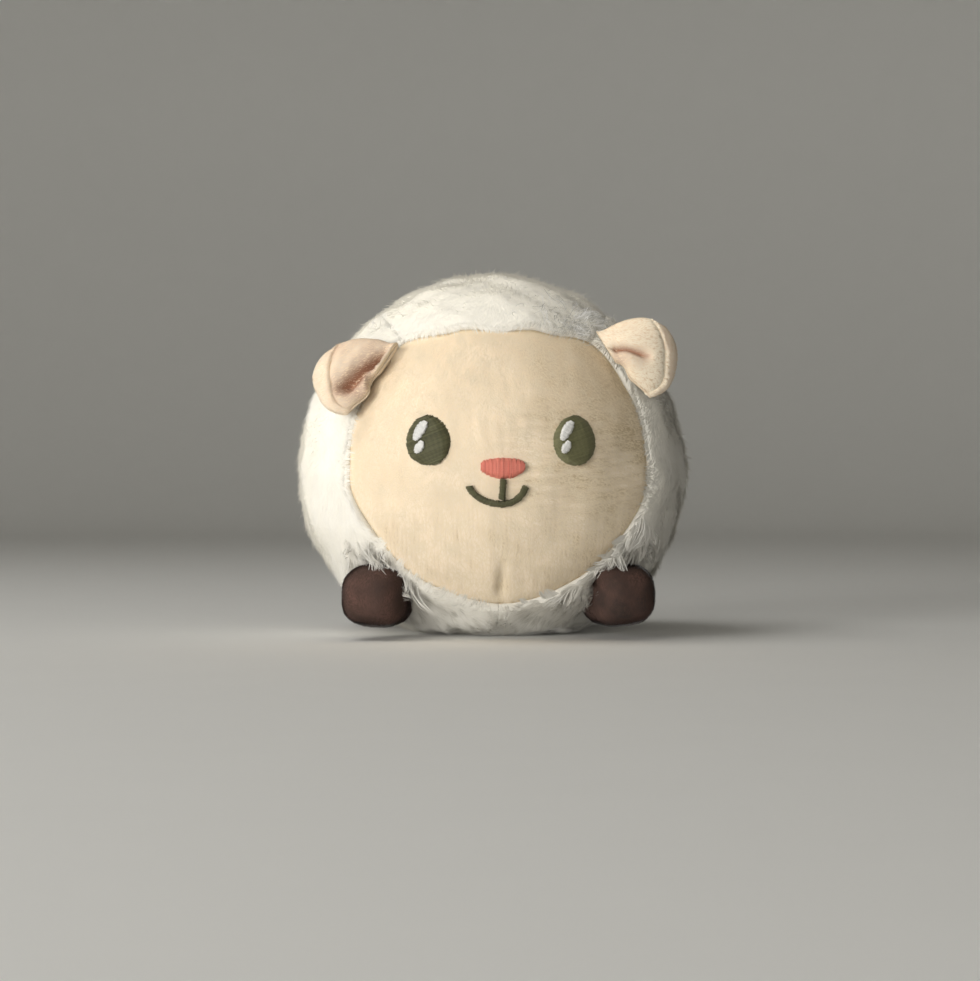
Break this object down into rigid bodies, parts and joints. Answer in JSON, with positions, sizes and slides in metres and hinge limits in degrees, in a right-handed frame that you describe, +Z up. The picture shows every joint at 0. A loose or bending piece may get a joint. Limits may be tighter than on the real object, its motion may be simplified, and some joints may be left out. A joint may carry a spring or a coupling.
{
  "type": "plush sheep",
  "caption": "Ball-shaped plush sheep with a short-pile face, embroidered features, pinched floppy ears, stub feet and a tuft tail.",
  "frame": {"origin": "on the floor under the middle of the toy's box", "axes": "+Z up, the toy faces -Y, and its own left side is +X"},
  "size_m": [0.115, 0.1192, 0.106],
  "materials": {
    "fleece": "long-pile fleece",
    "face_velour": "short-pile velour",
    "ear_velour": "short-pile velour",
    "foot_velour": "short-pile velour",
    "dark_thread": "satin stitch",
    "coral_thread": "satin stitch",
    "white_thread": "satin stitch",
    "fibre_fill": "loose fibre"
  },
  "bodies": {
    "body": {"face_panel": "face_velour", "fleece_crown": "fleece", "fleece_left_side": "fleece", "fleece_right_side": "fleece", "fleece_back": "fleece", "stuffing_core": "fibre_fill", "foot_front_left_cover": "foot_velour", "foot_front_left_filling": "fibre_fill", "foot_front_right_cover": "foot_velour", "foot_front_right_filling": "fibre_fill", "foot_rear_left_cover": "foot_velour", "foot_rear_left_filling": "fibre_fill", "foot_rear_right_cover": "foot_velour", "foot_rear_right_filling": "fibre_fill", "tail": "fleece", "eye_left": "dark_thread", "eye_left_glint_upper": "white_thread", "eye_left_glint_lower": "white_thread", "eye_right": "dark_thread", "eye_right_glint_upper": "white_thread", "eye_right_glint_lower": "white_thread", "nose": "coral_thread", "philtrum": "dark_thread", "smile": "dark_thread"},
    "ear_left": {"ear_left_lining": "ear_velour", "ear_left_outer": "ear_velour"},
    "ear_right": {"ear_right_lining": "ear_velour", "ear_right_outer": "ear_velour"}
  },
  "joints": [
    {"name": "ear_left_flop", "type": "hinge", "parent": "body", "child": "ear_left", "pos_m": [0.03063, -0.03851, 0.08267], "axis": [0.472, -0.3587, -0.8053], "range_deg": [-4, 35], "stiffness_Nm_per_rad": 0.002},
    {"name": "ear_right_flop", "type": "hinge", "parent": "body", "child": "ear_right", "pos_m": [-0.03173, -0.04076, 0.07902], "axis": [0.535, 0.2088, 0.8186], "range_deg": [-4, 35], "stiffness_Nm_per_rad": 0.002}
  ]
}
